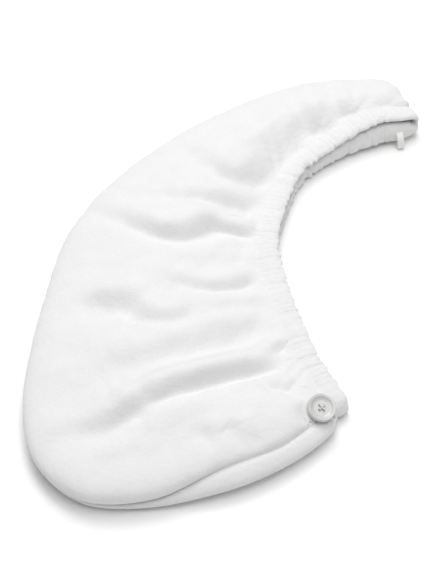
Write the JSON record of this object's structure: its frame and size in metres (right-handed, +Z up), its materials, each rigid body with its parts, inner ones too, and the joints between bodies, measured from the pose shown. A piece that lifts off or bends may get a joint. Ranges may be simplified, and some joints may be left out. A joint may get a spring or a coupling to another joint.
{
  "type": "hair turban towel",
  "caption": "Plush hair turban towel lying flat: a crescent pouch of two cloth panels with a gathered elastic mouth in its hollow side, a dished button on its seam and a loop at its tail.",
  "frame": {"origin": "the middle of the footprint, on the surface that the towel lies on", "axes": "+Z up from the surface; +Y from the wide round end to the tail; +X from the long seam towards the mouth"},
  "size_m": [0.3176, 0.4484, 0.0412],
  "materials": {
    "plush_cloth": "soft short-pile plush, matte",
    "casing_cloth": "gathered short-pile plush, matte",
    "button_plastic": "satin to glossy",
    "white_thread": "twisted cotton, matte",
    "elastic_tape": "woven elastic, matte"
  },
  "bodies": {
    "root": {"upper_panel": "plush_cloth", "lower_panel": "plush_cloth", "elastic_casing": "casing_cloth", "button": "button_plastic", "button_thread": "white_thread", "button_loop": "elastic_tape"}
  },
  "joints": []
}
